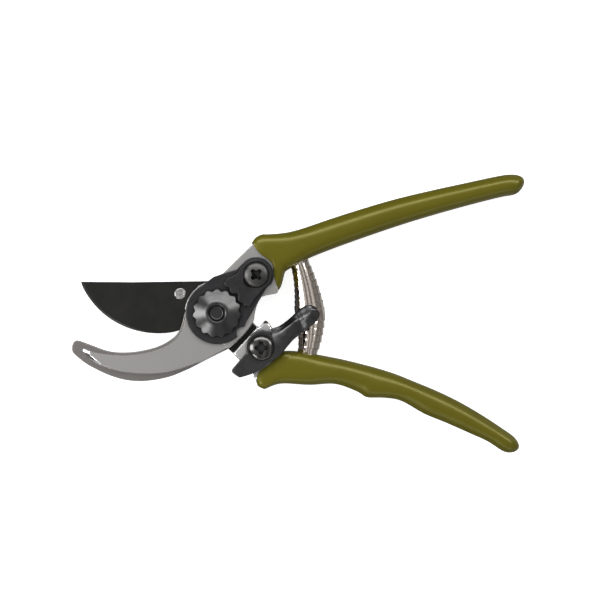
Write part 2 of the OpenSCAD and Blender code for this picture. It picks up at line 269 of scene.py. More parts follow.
def revolve(name, profile, centre=PIVOT, columns=96, radius_at=None, sharp=35):
    """A turned piece about a vertical axis. radius_at(radius, level, degrees) may shape it."""
    rings = []
    for radius, level in profile:
        ring = []
        for i in range(columns):
            degrees = 360 * i / columns
            r = radius_at(radius, level, degrees) if radius_at else radius
            x, y = polar(r, degrees, centre)
            ring.append((x, y, level))
        rings.append(ring)
    obj = make(name, *stack(rings), sharp=sharp)
    weight_normals(obj)
    return obj


def applied(obj):
    """obj with its modifiers made part of its mesh."""
    depsgraph = bpy.context.evaluated_depsgraph_get()
    done = bpy.data.meshes.new_from_object(obj.evaluated_get(depsgraph))
    obj.modifiers.clear()
    obj.data = done
    return obj


def drop_strays(work, fewest=8):
    """Removes scraps of a few faces that a boolean left behind, and closes pinholes."""
    seen, strays = set(), []
    for first in work.faces:
        if first in seen:
            continue
        seen.add(first)
        island, queue = [first], [first]
        while queue:
            for edge in queue.pop().edges:
                if len(edge.link_faces) != 2:
                    continue
                for face in edge.link_faces:
                    if face not in seen:
                        seen.add(face)
                        island.append(face)
                        queue.append(face)
        if len(island) < fewest:
            strays += island
    bmesh.ops.delete(work, geom=strays, context="FACES")
    rim = [e for e in work.edges if len(e.link_faces) == 1]
    bmesh.ops.holes_fill(work, edges=rim, sides=8)


def combine(obj, others, operation, sharp=35):
    """obj with other pieces joined to it or cut out of it, which then go."""
    obj.modifiers.clear()
    for other in others:
        other.modifiers.clear()
        m = obj.modifiers.new("bool", "BOOLEAN")
        m.operation = operation
        m.solver = "EXACT"
        m.object = other
        applied(obj)
        bpy.data.objects.remove(other)
    work = bmesh.new()
    work.from_mesh(obj.data)
    bmesh.ops.remove_doubles(work, verts=work.verts, dist=2e-6)
    bmesh.ops.dissolve_degenerate(work, edges=work.edges, dist=1e-6)
    drop_strays(work)
    bmesh.ops.triangulate(work, faces=[f for f in work.faces if len(f.verts) > 4])
    work.to_mesh(obj.data)
    work.free()
    shade(obj, sharp)
    weight_normals(obj)
    return obj


def melt(obj, voxel, smooth_passes):
    """obj's parts run together into one cast shape with soft edges."""
    m = obj.modifiers.new("remesh", "REMESH")
    m.mode = "VOXEL"
    m.voxel_size = voxel * MM
    s = obj.modifiers.new("smooth", "SMOOTH")
    s.factor = 0.5
    s.iterations = smooth_passes
    applied(obj)
    for polygon in obj.data.polygons:
        polygon.use_smooth = True
    return obj


def place(obj, node, body, material):
    """obj stands for a CAD node, rides with its body and takes its material."""
    obj.data.materials.clear()
    obj.data.materials.append(material)
    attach(obj, body)
    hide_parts(node)
    return obj


# ---------------------------------------------------------------- materials

def node_tree(name):
    """A new material with its node tree, its shader and its object coordinates."""
    material = bpy.data.materials.new(name)
    material.use_nodes = True
    tree = material.node_tree
    shader = tree.nodes["Principled BSDF"]
    coords = tree.nodes.new("ShaderNodeTexCoord")
    return material, tree, shader, coords.outputs["Object"]


def noise(tree, coords, scale, detail=3.0, rough=0.5):
    """Cloudy noise, about scale lumps a metre."""
    n = tree.nodes.new("ShaderNodeTexNoise")
    n.inputs["Scale"].default_value = scale
    n.inputs["Detail"].default_value = detail
    n.inputs["Roughness"].default_value = rough
    tree.links.new(coords, n.inputs["Vector"])
    return n.outputs["Fac"]


def ramp(tree, value, low, high, out_low, out_high):
    """value from low..high moved to out_low..out_high."""
    m = tree.nodes.new("ShaderNodeMapRange")
    for socket, number in zip(("From Min", "From Max", "To Min", "To Max"),
                              (low, high, out_low, out_high)):
        m.inputs[socket].default_value = number
    tree.links.new(value, m.inputs["Value"])
    return m.outputs["Result"]


def maths(tree, operation, first, second=None, third=None):
    """One sum; each value is a number or another node's output."""
    m = tree.nodes.new("ShaderNodeMath")
    m.operation = operation
    for socket, value in zip(m.inputs, (first, second, third)):
        if isinstance(value, (int, float)):
            socket.default_value = value
        elif value is not None:
            tree.links.new(value, socket)
    return m.outputs[0]


def mix_colours(tree, fac, first, second):
    """first where fac is 0 and second where it is 1; each is a colour or an output."""
    m = tree.nodes.new("ShaderNodeMix")
    m.data_type = "RGBA"
    tree.links.new(fac, m.inputs["Factor"])
    for socket, colour in ((m.inputs[6], first), (m.inputs[7], second)):
        if isinstance(colour, tuple):
            socket.default_value = (*colour, 1)
        else:
            tree.links.new(colour, socket)
    return m.outputs[2]


def add_bump(tree, shader, height, strength, distance):
    """Relief in the shading, distance metres deep."""
    b = tree.nodes.new("ShaderNodeBump")
    b.inputs["Strength"].default_value = strength
    b.inputs["Distance"].default_value = distance
    tree.links.new(height, b.inputs["Height"])
    tree.links.new(b.outputs["Normal"], shader.inputs["Normal"])


def edge_wear(tree, radius=0.35):
    """1 where the surface turns sharply, 0 on flat and gently curved places."""
    bevel = tree.nodes.new("ShaderNodeBevel")
    bevel.samples = 4
    bevel.inputs["Radius"].default_value = radius * MM
    geometry = tree.nodes.new("ShaderNodeNewGeometry")
    dot = tree.nodes.new("ShaderNodeVectorMath")
    dot.operation = "DOT_PRODUCT"
    tree.links.new(bevel.outputs["Normal"], dot.inputs[0])
    tree.links.new(geometry.outputs["Normal"], dot.inputs[1])
    return ramp(tree, dot.outputs["Value"], 0.99, 0.86, 0, 1)


def coated(name, dark, light, rough, speckle=900, bump=0.12, wear=(0.2, 0.2, 0.195),
           spread=0.05):
    """Blackened metal: faint mottling, fine grain, rubbed edges, and painted shade that darkens
    its corners and recesses.
    """
    material, tree, shader, coords = node_tree(name)
    cloud = ramp(tree, noise(tree, coords, 120, 4), 0.35, 0.65, 0, 1)
    colour = mix_colours(tree, cloud, dark, light)
    colour = mix_colours(tree, ramp(tree, edge_wear(tree), 0, 1, 0, 0.5), colour, wear)
    # Painted shade: ambient occlusion darkens corners and recesses almost to black.
    corners = tree.nodes.new("ShaderNodeAmbientOcclusion")
    corners.samples = 8
    corners.inputs["Distance"].default_value = 2 * MM
    painted_shade = ramp(tree, corners.outputs["AO"], 0.25, 0.75, 0.9, 0)
    colour = mix_colours(tree, painted_shade, colour, (0.008, 0.008, 0.008))
    tree.links.new(colour, shader.inputs["Base Color"])
    grain = noise(tree, coords, speckle, 2)
    tree.links.new(ramp(tree, grain, 0.3, 0.7, rough - spread, rough + spread),
                   shader.inputs["Roughness"])
    shader.inputs["Metallic"].default_value = 1
    add_bump(tree, shader, grain, bump, 0.00004)
    return material


def forged_aluminium(name, ground, skin_low, cast, face):
    """Forged alloy: a dull skin, a polished step above skin_low and a finely ground face."""
    material, tree, shader, coords = node_tree(name)
    split = tree.nodes.new("ShaderNodeSeparateXYZ")
    tree.links.new(coords, split.inputs["Vector"])
    z = split.outputs["Z"]
    on_face = ramp(tree, z, (ground - 0.08) * MM, (ground - 0.02) * MM, 0, 1)
    on_step = ramp(tree, z, skin_low * MM, (skin_low + 0.15) * MM, 0, 1)
    cloud = ramp(tree, noise(tree, coords, 110, 6, 0.7), 0.3, 0.7, 0, 1)
    skin = mix_colours(tree, cloud, tuple(0.95 * c for c in cast), cast)
    flat = mix_colours(tree, cloud, tuple(0.98 * c for c in face), face)
    colour = mix_colours(tree, on_step, skin, (0.96, 0.95, 0.955))
    colour = mix_colours(tree, on_face, colour, flat)
    colour = mix_colours(tree, ramp(tree, edge_wear(tree, 0.25), 0, 1, 0, 0.45), colour,
                         (0.7, 0.69, 0.68))
    tree.links.new(colour, shader.inputs["Base Color"])
    shader.inputs["Metallic"].default_value = 1
    grain = noise(tree, coords, 2200, 2)
    rough = ramp(tree, grain, 0.3, 0.7, 0.36, 0.5)
    polish = maths(tree, "SUBTRACT", on_step, on_face)
    smooth = maths(tree, "MULTIPLY_ADD", polish, -0.2, rough)
    tree.links.new(smooth, shader.inputs["Roughness"])
    add_bump(tree, shader, grain, 0.12, 0.00004)
    return material


def vinyl(name):
    """Glossy dipped vinyl: olive, slightly uneven, with a warm gloss."""
    material, tree, shader, coords = node_tree(name)
    cloud = ramp(tree, noise(tree, coords, 38, 3), 0.3, 0.7, 0, 1)
    colour = mix_colours(tree, cloud, (0.07, 0.062, 0.0006), (0.078, 0.069, 0.001))
    tree.links.new(colour, shader.inputs["Base Color"])
    fine = noise(tree, coords, 420, 3)
    tree.links.new(ramp(tree, fine, 0.3, 0.7, 0.31, 0.38), shader.inputs["Roughness"])
    shader.inputs["Specular IOR Level"].default_value = 0.65
    shader.inputs["Specular Tint"].default_value = (1, 0.95, 0.42, 1)
    slow = noise(tree, coords, 90, 2)
    add_bump(tree, shader, slow, 0.1, 0.0001)
    return material


def bare_metal(name, colour, rough, scratch=1500):
    """Bright metal with a fine drawn grain."""
    material, tree, shader, coords = node_tree(name)
    stretch = tree.nodes.new("ShaderNodeMapping")
    stretch.inputs["Scale"].default_value = (1, 1, 6)
    tree.links.new(coords, stretch.inputs["Vector"])
    grain = noise(tree, stretch.outputs["Vector"], scratch, 3)
    dull = tuple(0.82 * c for c in colour)
    tree.links.new(mix_colours(tree, ramp(tree, grain, 0.3, 0.7, 0, 1), dull, colour),
                   shader.inputs["Base Color"])
    shader.inputs["Metallic"].default_value = 1
    tree.links.new(ramp(tree, grain, 0.3, 0.7, rough * 0.75, rough * 1.25),
                   shader.inputs["Roughness"])
    add_bump(tree, shader, grain, 0.1, 0.00003)
    return material


def rubber(name):
    """Dull black rubber."""
    material, tree, shader, coords = node_tree(name)
    grain = noise(tree, coords, 1200, 3)
    tree.links.new(mix_colours(tree, grain, (0.012, 0.012, 0.012), (0.03, 0.03, 0.029)),
                   shader.inputs["Base Color"])
    tree.links.new(ramp(tree, grain, 0.3, 0.7, 0.6, 0.75), shader.inputs["Roughness"])
    add_bump(tree, shader, grain, 0.3, 0.00005)
    return material


FORGED_HOOK = forged_aluminium("forged_hook", Z_PLATE, Z_BAND + 0.1,
                               (0.225, 0.212, 0.2), (0.40, 0.39, 0.378))
FORGED_HANDLE = forged_aluminium("forged_handle", BOSS_FACE, BOSS_FACE - 1,
                                 (0.39, 0.38, 0.37), (0.57, 0.56, 0.55))
VINYL = vinyl("olive_vinyl")
BLACK = coated("black_oxide", (0.046, 0.046, 0.048), (0.058, 0.057, 0.06), 0.4)
NUT_BLACK = coated("nut_black", (0.07, 0.07, 0.07), (0.082, 0.081, 0.08), 0.3,
                   speckle=1400, bump=0.02, spread=0.015)
BLADE_BLACK = coated("blade_coating", (0.03, 0.03, 0.028), (0.036, 0.0355, 0.033), 0.42,
                     speckle=1600, bump=0.08)
SCREW_BLACK = coated("screw_black", (0.072, 0.071, 0.069), (0.094, 0.092, 0.089), 0.42)
# The same black screw finish again for the catch screw, its colour painted lighter for brighter
# reflections: a painted highlight.
SCREW_PAINTED_LIGHTER = coated("screw_painted_lighter", (0.085, 0.083, 0.08), (0.105, 0.102, 0.098), 0.2,
                    bump=0.06)
CATCH_BLACK = coated("catch_black", (0.066, 0.066, 0.067), (0.08, 0.08, 0.081), 0.33,
                     speckle=700, bump=0.08, wear=(0.2, 0.2, 0.2))
STEEL = bare_metal("turned_steel", (0.55, 0.54, 0.53), 0.3)
NICKEL = bare_metal("nickel_plate", (0.82, 0.73, 0.65), 0.1, scratch=700)
BRONZE = bare_metal("bearing_bronze", (0.55, 0.36, 0.16), 0.3)
RUBBER = rubber("buffer_rubber")


# ---------------------------------------------------------------- grips

# Stations along each grip: a point on its upper edge, one on its lower edge, share of height
UPPER_STATIONS = [
    (20, 35.5, 30.4, 18.6, 1), (27.3, 35.8, 35.3, 21.6, 1), (36.3, 37.5, 43.4, 25.6, 0.98),
    (54, 43.5, 59.8, 31.8, 0.96), (76.9, 50.5, 81.3, 39.2, 0.94),
    (94.7, 54.9, 98.6, 44.5, 0.94), (112.5, 58.8, 115.6, 49.2, 0.96),
    (126, 61.7, 128, 52.3, 0.99), (131.8, 62.5, 133.4, 53.2, 0.97),
    (135.4, 62.2, 136, 54.6, 0.84), (137.5, 61.2, 137.6, 56.7, 0.58),
    (138.3, 59.9, 138.3, 58.2, 0.25),
]
LOWER_STATIONS = [
    (34.2, -17.1, 21.4, -34.4, 1), (38.5, -17.6, 28.6, -31.8, 1),
    (45.3, -18.8, 41.5, -32.5, 0.98), (56.3, -20.9, 53, -32, 0.96),
    (67.3, -23.6, 63, -35.5, 0.95), (72.4, -25, 67.4, -38.1, 0.95),
    (80, -27.4, 75.2, -38.3, 0.95), (88, -30.6, 83, -39.7, 0.95),
    (98.6, -35, 93, -45.4, 0.95), (109, -40, 103, -49.5, 0.96),
    (119.6, -46.2, 113.6, -54.2, 0.97), (127.2, -51.2, 121.8, -57.9, 0.98),
    (132.6, -54.9, 127.4, -61.6, 0.94), (134.9, -57.2, 130.4, -62.9, 0.82),
    (136, -59.5, 133, -62.9, 0.58), (135.9, -61, 134.6, -62.3, 0.25),
]
# Where the vinyl ends on the bare arm, from the upper edge to the lower edge
UPPER_BORDER = [
    (15.4, 31.4), (17, 29.4), (19.3, 26.5), (22.8, 24.2), (25.2, 21.3), (25.5, 16.8),
    (26.6, 13), (27.4, 10.2),
]
LOWER_BORDER = [
    (28.9, -17.6), (27, -19.8), (24, -22.6), (20.8, -24.8), (18.4, -26.8), (17.8, -29.2),
    (17.4, -30.4),
]
GRIP_SIDES = 48
# Boxiness of the sections: at the lip on the arm, at the neck, and along the grip
LIP_POWER, NECK_POWER, GRIP_POWER = 8, 4, 2.3
GRIP_HALF = 8.5


def along(points, f):
    """The point a share f of the way along a fine line of points, by length."""
    lengths = [math.dist(a, b) for a, b in zip(points, points[1:])]
    goal = f * sum(lengths)
    for a, b, length in zip(points, points[1:], lengths):
        if goal <= length:
            t = goal / length if length else 0
            return tuple(p + (q - p) * t for p, q in zip(a, b))
        goal -= length
    return points[-1]


def grip(name, node, body, stations, border, flange):
    """A dipped grip: a boxy lip that follows the border on the arm, then rounder sections."""
    edge = curve(border, 6)
    flange = curve(flange, 4)
    rows = curve(stations, 4)
    first = rows[0]
    inner = ((first[0] + first[2]) / 2, (first[1] + first[3]) / 2)

    def section(power):
        """Across (1 to -1) and height (-1 to 1) round a section."""
        out = []
        for i in range(GRIP_SIDES):
            a = math.radians(360 * i / GRIP_SIDES)
            c, s = math.cos(a), math.sin(a)
            k = (abs(c) ** power + abs(s) ** power) ** (-1 / power)
            out.append((c * k, s * k))
        return out

    rings = []
    for scale, shift, height in ((0.35, 0.5, 0.3), (0.78, 0.2, 0.72), (0.93, 0.05, 0.86),
                                 (0.98, 0.012, 0.925), (1.0, 0.0, 0.945), (1.005, 0.0, 0.96)):
        middle = ((edge[0][0] + edge[-1][0]) / 2, (edge[0][1] + edge[-1][1]) / 2)
        ring = []
        for c, s in section(LIP_POWER):
            p = along(edge, (1 - c) / 2)
            x = middle[0] + (p[0] - middle[0]) * scale
            y = middle[1] + (p[1] - middle[1]) * scale
            x += (inner[0] - x) * shift
            y += (inner[1] - y) * shift
            ring.append((x, y, Z_GRIP + s * GRIP_HALF * height))
        rings.append(ring)
    outer = rings[-1]
    steps = len(flange) - 1
    for j in range(1, steps):
        f = j / steps
        t, b = flange[j][:2], flange[j][2:4]
        ring = []
        for (c, s), start in zip(section(LIP_POWER + (NECK_POWER - LIP_POWER) * f), outer):
            line = [(t[k] + b[k]) / 2 + (t[k] - b[k]) / 2 * c for k in (0, 1)]
            goal = [(first[k] + first[k + 2]) / 2 + (first[k] - first[k + 2]) / 2 * c
                    for k in (0, 1)]
            side = abs(c) ** 3
            x, y = [(start[k] + (goal[k] - start[k]) * f) * (1 - side) + line[k] * side
                    for k in (0, 1)]
            height = 0.96 + 0.04 * smoothstep(0, 0.6, f)
            ring.append((x, y, Z_GRIP + s * GRIP_HALF * height))
        rings.append(ring)
    for i, (tx, ty, bx, by, share) in enumerate(rows):
        f = smoothstep(0, 3 * 4, i)
        rings.append([((tx + bx) / 2 + (tx - bx) / 2 * c, (ty + by) / 2 + (ty - by) / 2 * c,
                       Z_GRIP + s * GRIP_HALF * share)
                      for c, s in section(NECK_POWER + (GRIP_POWER - NECK_POWER) * f)])
    end = rings[-1]
    heart = [sum(p[k] for p in end) / GRIP_SIDES for k in range(3)]
    before = [sum(p[k] for p in rings[-4]) / GRIP_SIDES for k in range(3)]
    for scale, push in ((0.7, 0.05), (0.3, 0.07)):
        rings.append([tuple(heart[k] + (p[k] - heart[k]) * scale
                            + (heart[k] - before[k]) * push for k in range(3)) for p in end])
    obj = make(name, *stack(rings), sharp=80)
    subdivide = obj.modifiers.new("subdivide", "SUBSURF")
    subdivide.levels = subdivide.render_levels = 1
    return place(obj, node, body, VINYL)


grip("upper_grip_dip", "upper_grip", "hook_side", UPPER_STATIONS, UPPER_BORDER,
     [(15.4, 31.4, 27.4, 10.2), (17.2, 34, 28.8, 12.4), (20, 35.5, 30.4, 18.6)])
grip("lower_grip_dip", "lower_grip", "blade_side", LOWER_STATIONS, LOWER_BORDER,
     [(28.9, -17.6, 17.4, -30.4), (30.8, -17.1, 18.3, -33), (34.2, -17.1, 21.4, -34.4)])


# ---------------------------------------------------------------- the spring's path

SPRING_TOP_DEG, SPRING_LOW_DEG = 30.6, -23.2
SPRING_TOP_R, SPRING_LEAN, SPRING_DIP = 43.1, 1.0, 2.6
PEG_R = 2.3


def spring_r(u):
    """Distance of the spring's middle line from the pivot, u of the way down."""
    return SPRING_TOP_R + SPRING_LEAN * u - SPRING_DIP * (1 - 0.35 * u) * math.sin(math.pi * u)


def spring_peg(u, start, end):
    """The peg inside one end of the spring, from start to end along the spring's line."""
    degrees = SPRING_TOP_DEG if u == 0 else SPRING_LOW_DEG
    a = math.radians(degrees)
    x, y = polar(spring_r(u), degrees)
    rings = []
    for t, r in ((start, PEG_R - 0.4), (start + 0.4, PEG_R), (end - 0.4, PEG_R),
                 (end, PEG_R - 0.4)):
        rings.append([(x - t * math.sin(a) + r * math.cos(b) * math.cos(a),
                       y + t * math.cos(a) + r * math.cos(b) * math.sin(a),
                       Z_GRIP + r * math.sin(b))
                      for b in (math.radians(15 * i) for i in range(24))])
    return make("peg", *stack(rings), sharp=40)


# ---------------------------------------------------------------- hook body

HOOK_HOLLOW = [
    (-65.3, -16.4), (-64.8, -13.7), (-62.8, -12.3), (-57, -14.3), (-48, -17.3),
    (-38.7, -17.6), (-29, -15.8), (-22, -12.7), (-17.2, -8.2), (-14.6, 0),
]
HOOK_BACK = [
    (4.9, -16.1), (-5, -21.1), (-14.1, -25.7), (-23.3, -29.1), (-34.8, -30.6), (-45.5, -29),
    (-57, -23.9), (-63.6, -19), (-65.3, -16.4),
]
# The raised face in front of the band, from the head along the hollow, round the tip and back:
# foot x, y and top x, y. The two part near the tip, where the face starts as a ramp.
FACE = [
    (-14.2, 0.4, -13.9, 0.4), (-14.9, -4.6, -14.6, -4.7), (-17.4, -9.9, -17.1, -10.2),
    (-21.6, -14.1, -21.4, -14.4), (-27, -16.5, -26.9, -16.8), (-33.6, -18.2, -33.5, -18.5),
    (-42.4, -19, -42.4, -19.3), (-51.4, -18.4, -51.3, -18.7), (-56.2, -17.3, -55.8, -17.6),
    (-59.2, -16.1, -57.1, -17.7), (-60.2, -16.5, -57, -18.1), (-59.8, -17.9, -56.4, -18.9),
    (-56.6, -20.9, -54.3, -20.9), (-52.3, -23.4, -51.4, -22.9), (-44.7, -26.1, -44.5, -25.7),
    (-34.8, -27.4, -34.8, -27), (-24.4, -27.1, -24.5, -26.7), (-17, -25.4, -17.2, -25),
    (-9, -22.6, -9.1, -22.2), (-4, -20.6, -4.1, -20.2),
]
HEAD_R = 14.6
ARM_SIDE = [(-8.6, 12.2), (-1.5, 15.4), (2.5, 17.7), (14.8, 29.7), (17, 31.6)]
# The arm's end inside the vinyl and the free side of the lug
LUG_SIDE = [
    (18.6, 30.8), (20.6, 28), (24, 25.6), (26.4, 22.6), (26.6, 17), (27.1, 13), (27.4, 10.8),
    (27.2, 9.5), (26.4, 8.8), (22.3, 8),
]
LUG_ROOT = [(19.9, 7.2), (18, 3.9), (16.9, 0), (16.1, -4.2), (13.2, -8.5), (9.6, -12.2),
            (4.9, -16.1)]


def front_skin():
    """The hook's raised face, and the head, arm and lug down to the blade's side."""
    rows = curve(FACE, 6)
    rest = resample(curve(LUG_ROOT, 5)[::-1] + LUG_SIDE[::-1] + ARM_SIDE[::-1]
                    + arc(HEAD_R, 128, 176, 16), 0.7)[:-1]
    rest = [p for p in rest if p[0] > -13.9 or p[1] > 1.5]
    moved = inset([rows[-1][:2]] + rest + [rows[0][:2]], [0.35] * (len(rest) + 2))[1:-1]
    foot = [(r[0], r[1], Z_BAND - 0.6) for r in rows] + [(*p, Z_HOOK + 0.01) for p in rest]
    lip = [(r[0], r[1], Z_BAND + 0.12) for r in rows] + [(*p, Z_PLATE - 0.35) for p in rest]
    top = [(r[2], r[3], Z_PLATE) for r in rows] + [(*p, Z_PLATE) for p in moved]
    mid = [(a[0] * 0.3 + b[0] * 0.7, a[1] * 0.3 + b[1] * 0.7, a[2] * 0.15 + b[2] * 0.85)
           for a, b in zip(lip, top)]
    plan = [p[:2] for p in top]
    reach = [0.22 - 0.19 * smoothstep(-52, -56, p[0]) for p in plan]
    held = [(*p, Z_PLATE) for p in inset(plan, reach)]
    obj = make("front", *stack([foot, lip, mid, top, held]), sharp=40)
    weight_normals(obj)
    return obj


def hook_body():
    """The hook forging: a banded jaw under its raised face, the arm and a spring peg."""
    root = curve(LUG_ROOT, 5)
    inside = inset((arc(HEAD_R, 180, 126, 20) + ARM_SIDE + LUG_SIDE + root)[::-1],
                   [0.3] * (21 + len(ARM_SIDE) + len(LUG_SIDE) + len(root)))[::-1]
    base = plate("base", curve(HOOK_BACK + HOOK_HOLLOW[1:], 8)[:-1] + inside[1:-1],
                 round_profile(Z_HOOK, Z_BAND, 0.3, 0.35))
    block = plate("block", arc(16.5, 70, 24) + LUG_SIDE[::-1]
                  + [(17, 31.6), (14.8, 29.7), (7.6, 22.6)],
                  round_profile(Z_ARM, Z_HOOK + 1, 0.5, 0.01))
    obj = combine(base, [front_skin(), block, spring_peg(0, -4, 6)], "UNION", sharp=38)
    obj.name = "hook_forging"
    return place(obj, "hook_body", "hook_side", FORGED_HOOK)


hook_body()


# ---------------------------------------------------------------- lower handle

def lower_handle():
    """The lower forging: the arm with its stop, the head behind the blade, a peg."""
    foot = curve([(17.9, -6.4), (19, -6.2), (19.9, -5.3), (20.7, -4.4)], 4)
    arm = plate("arm", [(7.2, -17.9)] + foot
                + [(22.8, -4.4), (23.4, -4.9), (25.4, -8.2), (27.4, -12.5), (28.6, -17.6),
                   (27.8, -20.4), (24.6, -23.4), (21.4, -25.6), (19.2, -27.6), (18.6, -29.6),
                   (17.6, -29.9)],
                round_profile(Z_HEAD, BOSS_FACE, 0.6, 0.7))
    rivet = centre_of("blade_rivet")
    head = plate("head", [(8.6, -19.2), (19.4, -8.2), (18.6, -6.5), (17.2, -5.6), (16, -4.2)]
                 + arc(15, -8, 126, 36) + arc(5, 70, 238, 20, rivet) + arc(15, 184, 286, 30),
                 round_profile(Z_HEAD + 0.03, Z_BLADE, 0.6, 0.15))
    obj = combine(arm, [head, spring_peg(1, -6, 4)], "UNION", sharp=30)
    obj.name = "lower_forging"
    return place(obj, "lower_handle", "blade_side", FORGED_HANDLE)


lower_handle()


# ---------------------------------------------------------------- blade

BLADE_EDGE = [
    (-61.5, 14.1), (-60.4, 11), (-57.4, 6.2), (-53, 1.2), (-47.4, -3.2), (-40.6, -6.6),
    (-33.9, -8.5), (-27.1, -9.2), (-20.4, -8.7), (-14.5, -7),
]


def blade():
    """The bypass blade: ground thin along its cutting edge, flat elsewhere."""
    edge = curve(BLADE_EDGE, 8)
    heel = [(4.7, -15.9), (6.9, -18), (17.6, -6.5), (15.8, -4.2)]
    outline = (edge + arc(14.4, 206, 247, 12) + heel + arc(14.4, -10, 104, 30)
               + [(-4.1, 14.4), (-38, 13.9)])

    def cutting(p):
        """1 on the cutting edge, 0 on the spine and the head."""
        return ((distance(p, edge) < 0.05) * smoothstep(-16, -24, p[0])
                * smoothstep(14.1, 12, p[1]))

    profile = [
        (lambda p: 0.2 + 4.6 * cutting(p) * smoothstep(15, 5, p[1]), Z_BLADE),
        (lambda p: 0.03 * (1 - cutting(p)),
         lambda p: Z_BLADE + 0.2 + (BLADE_TOP - Z_BLADE - 0.75) * cutting(p)),
        (0, lambda p: BLADE_TOP - 0.12 - 0.3 * cutting(p)),
        (lambda p: 0.12 + 0.75 * cutting(p), BLADE_TOP),
    ]
    obj = plate("blade_steel_plate", outline, profile, spacing=0.5, sharp=8)
    cutters = [revolve("cutter", [(r, Z_BLADE - 1), (r, BLADE_TOP + 1)], at)
               for r, at in ((2.55, centre_of("blade_rivet")), (4.9, PIVOT))]
    obj = combine(obj, cutters, "DIFFERENCE", sharp=8)
    obj.name = "blade_steel_plate"
    return place(obj, "blade", "blade_side", BLADE_BLACK)


def blade_rivet():
    """The rivet's peened end: a shallow dish inside a soft rim."""
    profile = [(2.3, Z_HEAD), (2.5, Z_HEAD + 0.2), (2.5, BLADE_TOP - 0.25),
               (2.42, BLADE_TOP - 0.05), (2.15, BLADE_TOP), (1.75, BLADE_TOP - 0.08),
               (1.2, BLADE_TOP - 0.2), (0.6, BLADE_TOP - 0.12), (0.02, BLADE_TOP - 0.1)]
    obj = revolve("peened_rivet", profile, centre_of("blade_rivet"), columns=48, sharp=60)
    return place(obj, "blade_rivet", "blade_side", STEEL)


blade()
blade_rivet()


# ---------------------------------------------------------------- plate, nut and segment

def cover_plate():
    """The teardrop plate under the nut, with the catch's notch in its rim."""
    outline = (arc(14, 119, 325.6, 60) + [(13.1, -3.9), (16.7, 2.1), (22.2, 11.3)]
               + arc(7.9, -30, 128, 24, SEGMENT_AT) + [(8.9, 19.6), (3, 17.8), (-1.6, 16.2)])
    obj = plate("plate", outline, round_profile(Z_PLATE, Z_NUT, 0.1, 0.35))
    notch = curve([(15, -5.2), (12.2, -6.1), (10.4, -6.6), (9.3, -7.3), (8.8, -8.5),
                   (8.9, -9.7), (9.6, -11.3), (11, -14)], 5)
    cutter = plate("cutter", notch + [(20, -14), (20, -5)],
                   [(0, Z_PLATE - 1), (0, Z_NUT + 1)])
    obj = combine(obj, [cutter], "DIFFERENCE")
    obj.name = "teardrop_plate"
    return place(obj, "cover_plate", "hook_side", BLACK)


cover_plate()

TEETH = 15
TOOTH_R = 10.55
TOOTH_H = 0.55


def toothed(degrees, gap=0.0):
    """Radius of the toothed edge, with a tooth at +Y: hollow scallops between short points."""
    a = math.radians(TEETH * (degrees - 90))
    wave = 0.75 * math.cos(a) + 0.25 * (1 - 2 * abs(math.sin(a / 2)))
    return TOOTH_R + gap + TOOTH_H * (1 + gap / 3) * wave


def toothed_nut():
    """The domed nut: lobes at its rim that die out up the dome, and a recess for the bolt."""
    slope = curve([(11.2, Z_NUT + 1.25), (10.7, Z_NUT + 1.6), (9.6, Z_NUT + 2.15),
                   (8.2, Z_NUT + 2.9), (6.6, Z_NUT + 3.7), (5.4, NUT_TOP - 0.3),
                   (4.3, NUT_TOP)], 4)

    def dome(radius):
        """Level of the nut's cone at a radius."""
        for (r0, z0), (r1, z1) in zip(slope, slope[1:]):
            if radius >= r1:
                return z0 + (z1 - z0) * (r0 - radius) / (r0 - r1)
        return NUT_TOP

    columns = [360 * i / (TEETH * 20) for i in range(TEETH * 20)]
    edges = [toothed(a) for a in columns]
    rings = [[(*polar(3.1, a), Z_NUT) for a in columns]]
    for depth, level in ((0.2, Z_NUT), (0, Z_NUT + 0.2)):
        rings.append([(*polar(e - depth, a), level) for a, e in zip(columns, edges)])
    for depth, sink in ((0, 0.3), (0.04, 0.12), (0.14, 0.03), (0.3, 0)):
        rings.append([(*polar(e - depth, a), dome(e - depth) - sink)
                      for a, e in zip(columns, edges)])
    for i in range(1, 11):
        radii = [e - 0.3 + (4.3 - e + 0.3) * i / 10 for e in edges]
        rings.append([(*polar(r, a), dome(r)) for a, r in zip(columns, radii)])
    for r, level in curve([(4.1, NUT_TOP - 0.05), (3.8, NUT_TOP - 0.25), (3.5, NUT_TOP - 0.6),
                           (3.25, NUT_TOP - 0.95), (3.05, NUT_TOP - 1.2)], 3):
        rings.append([(*polar(r, a), level) for a in columns])
    obj = make("domed_nut", *stack(rings), sharp=40)
    weight_normals(obj)
    return place(obj, "toothed_nut", "hook_side", NUT_BLACK)


toothed_nut()


def pivot_bolt():
    """The bolt: a chamfered head at the back and a turned ring on its end in the nut."""
    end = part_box("pivot_bolt")[1][2] / MM
    profile = [(0.02, 0.9), (3.6, 0.9), (4.2, 0), (7.4, 0), (8, 0.6), (8, 2.7), (7.7, 3), (4, 3),
               (4, Z_PLATE), (3, Z_PLATE), (3, end - 0.4), (2.93, end - 0.12), (2.75, end),
               (2.55, end - 0.1), (2.4, end - 0.45), (1.4, end - 0.6), (0.02, end - 0.55)]
    obj = revolve("turned_bolt", profile, columns=72, sharp=30)
    return place(obj, "pivot_bolt", "hook_side", BLACK)


pivot_bolt()


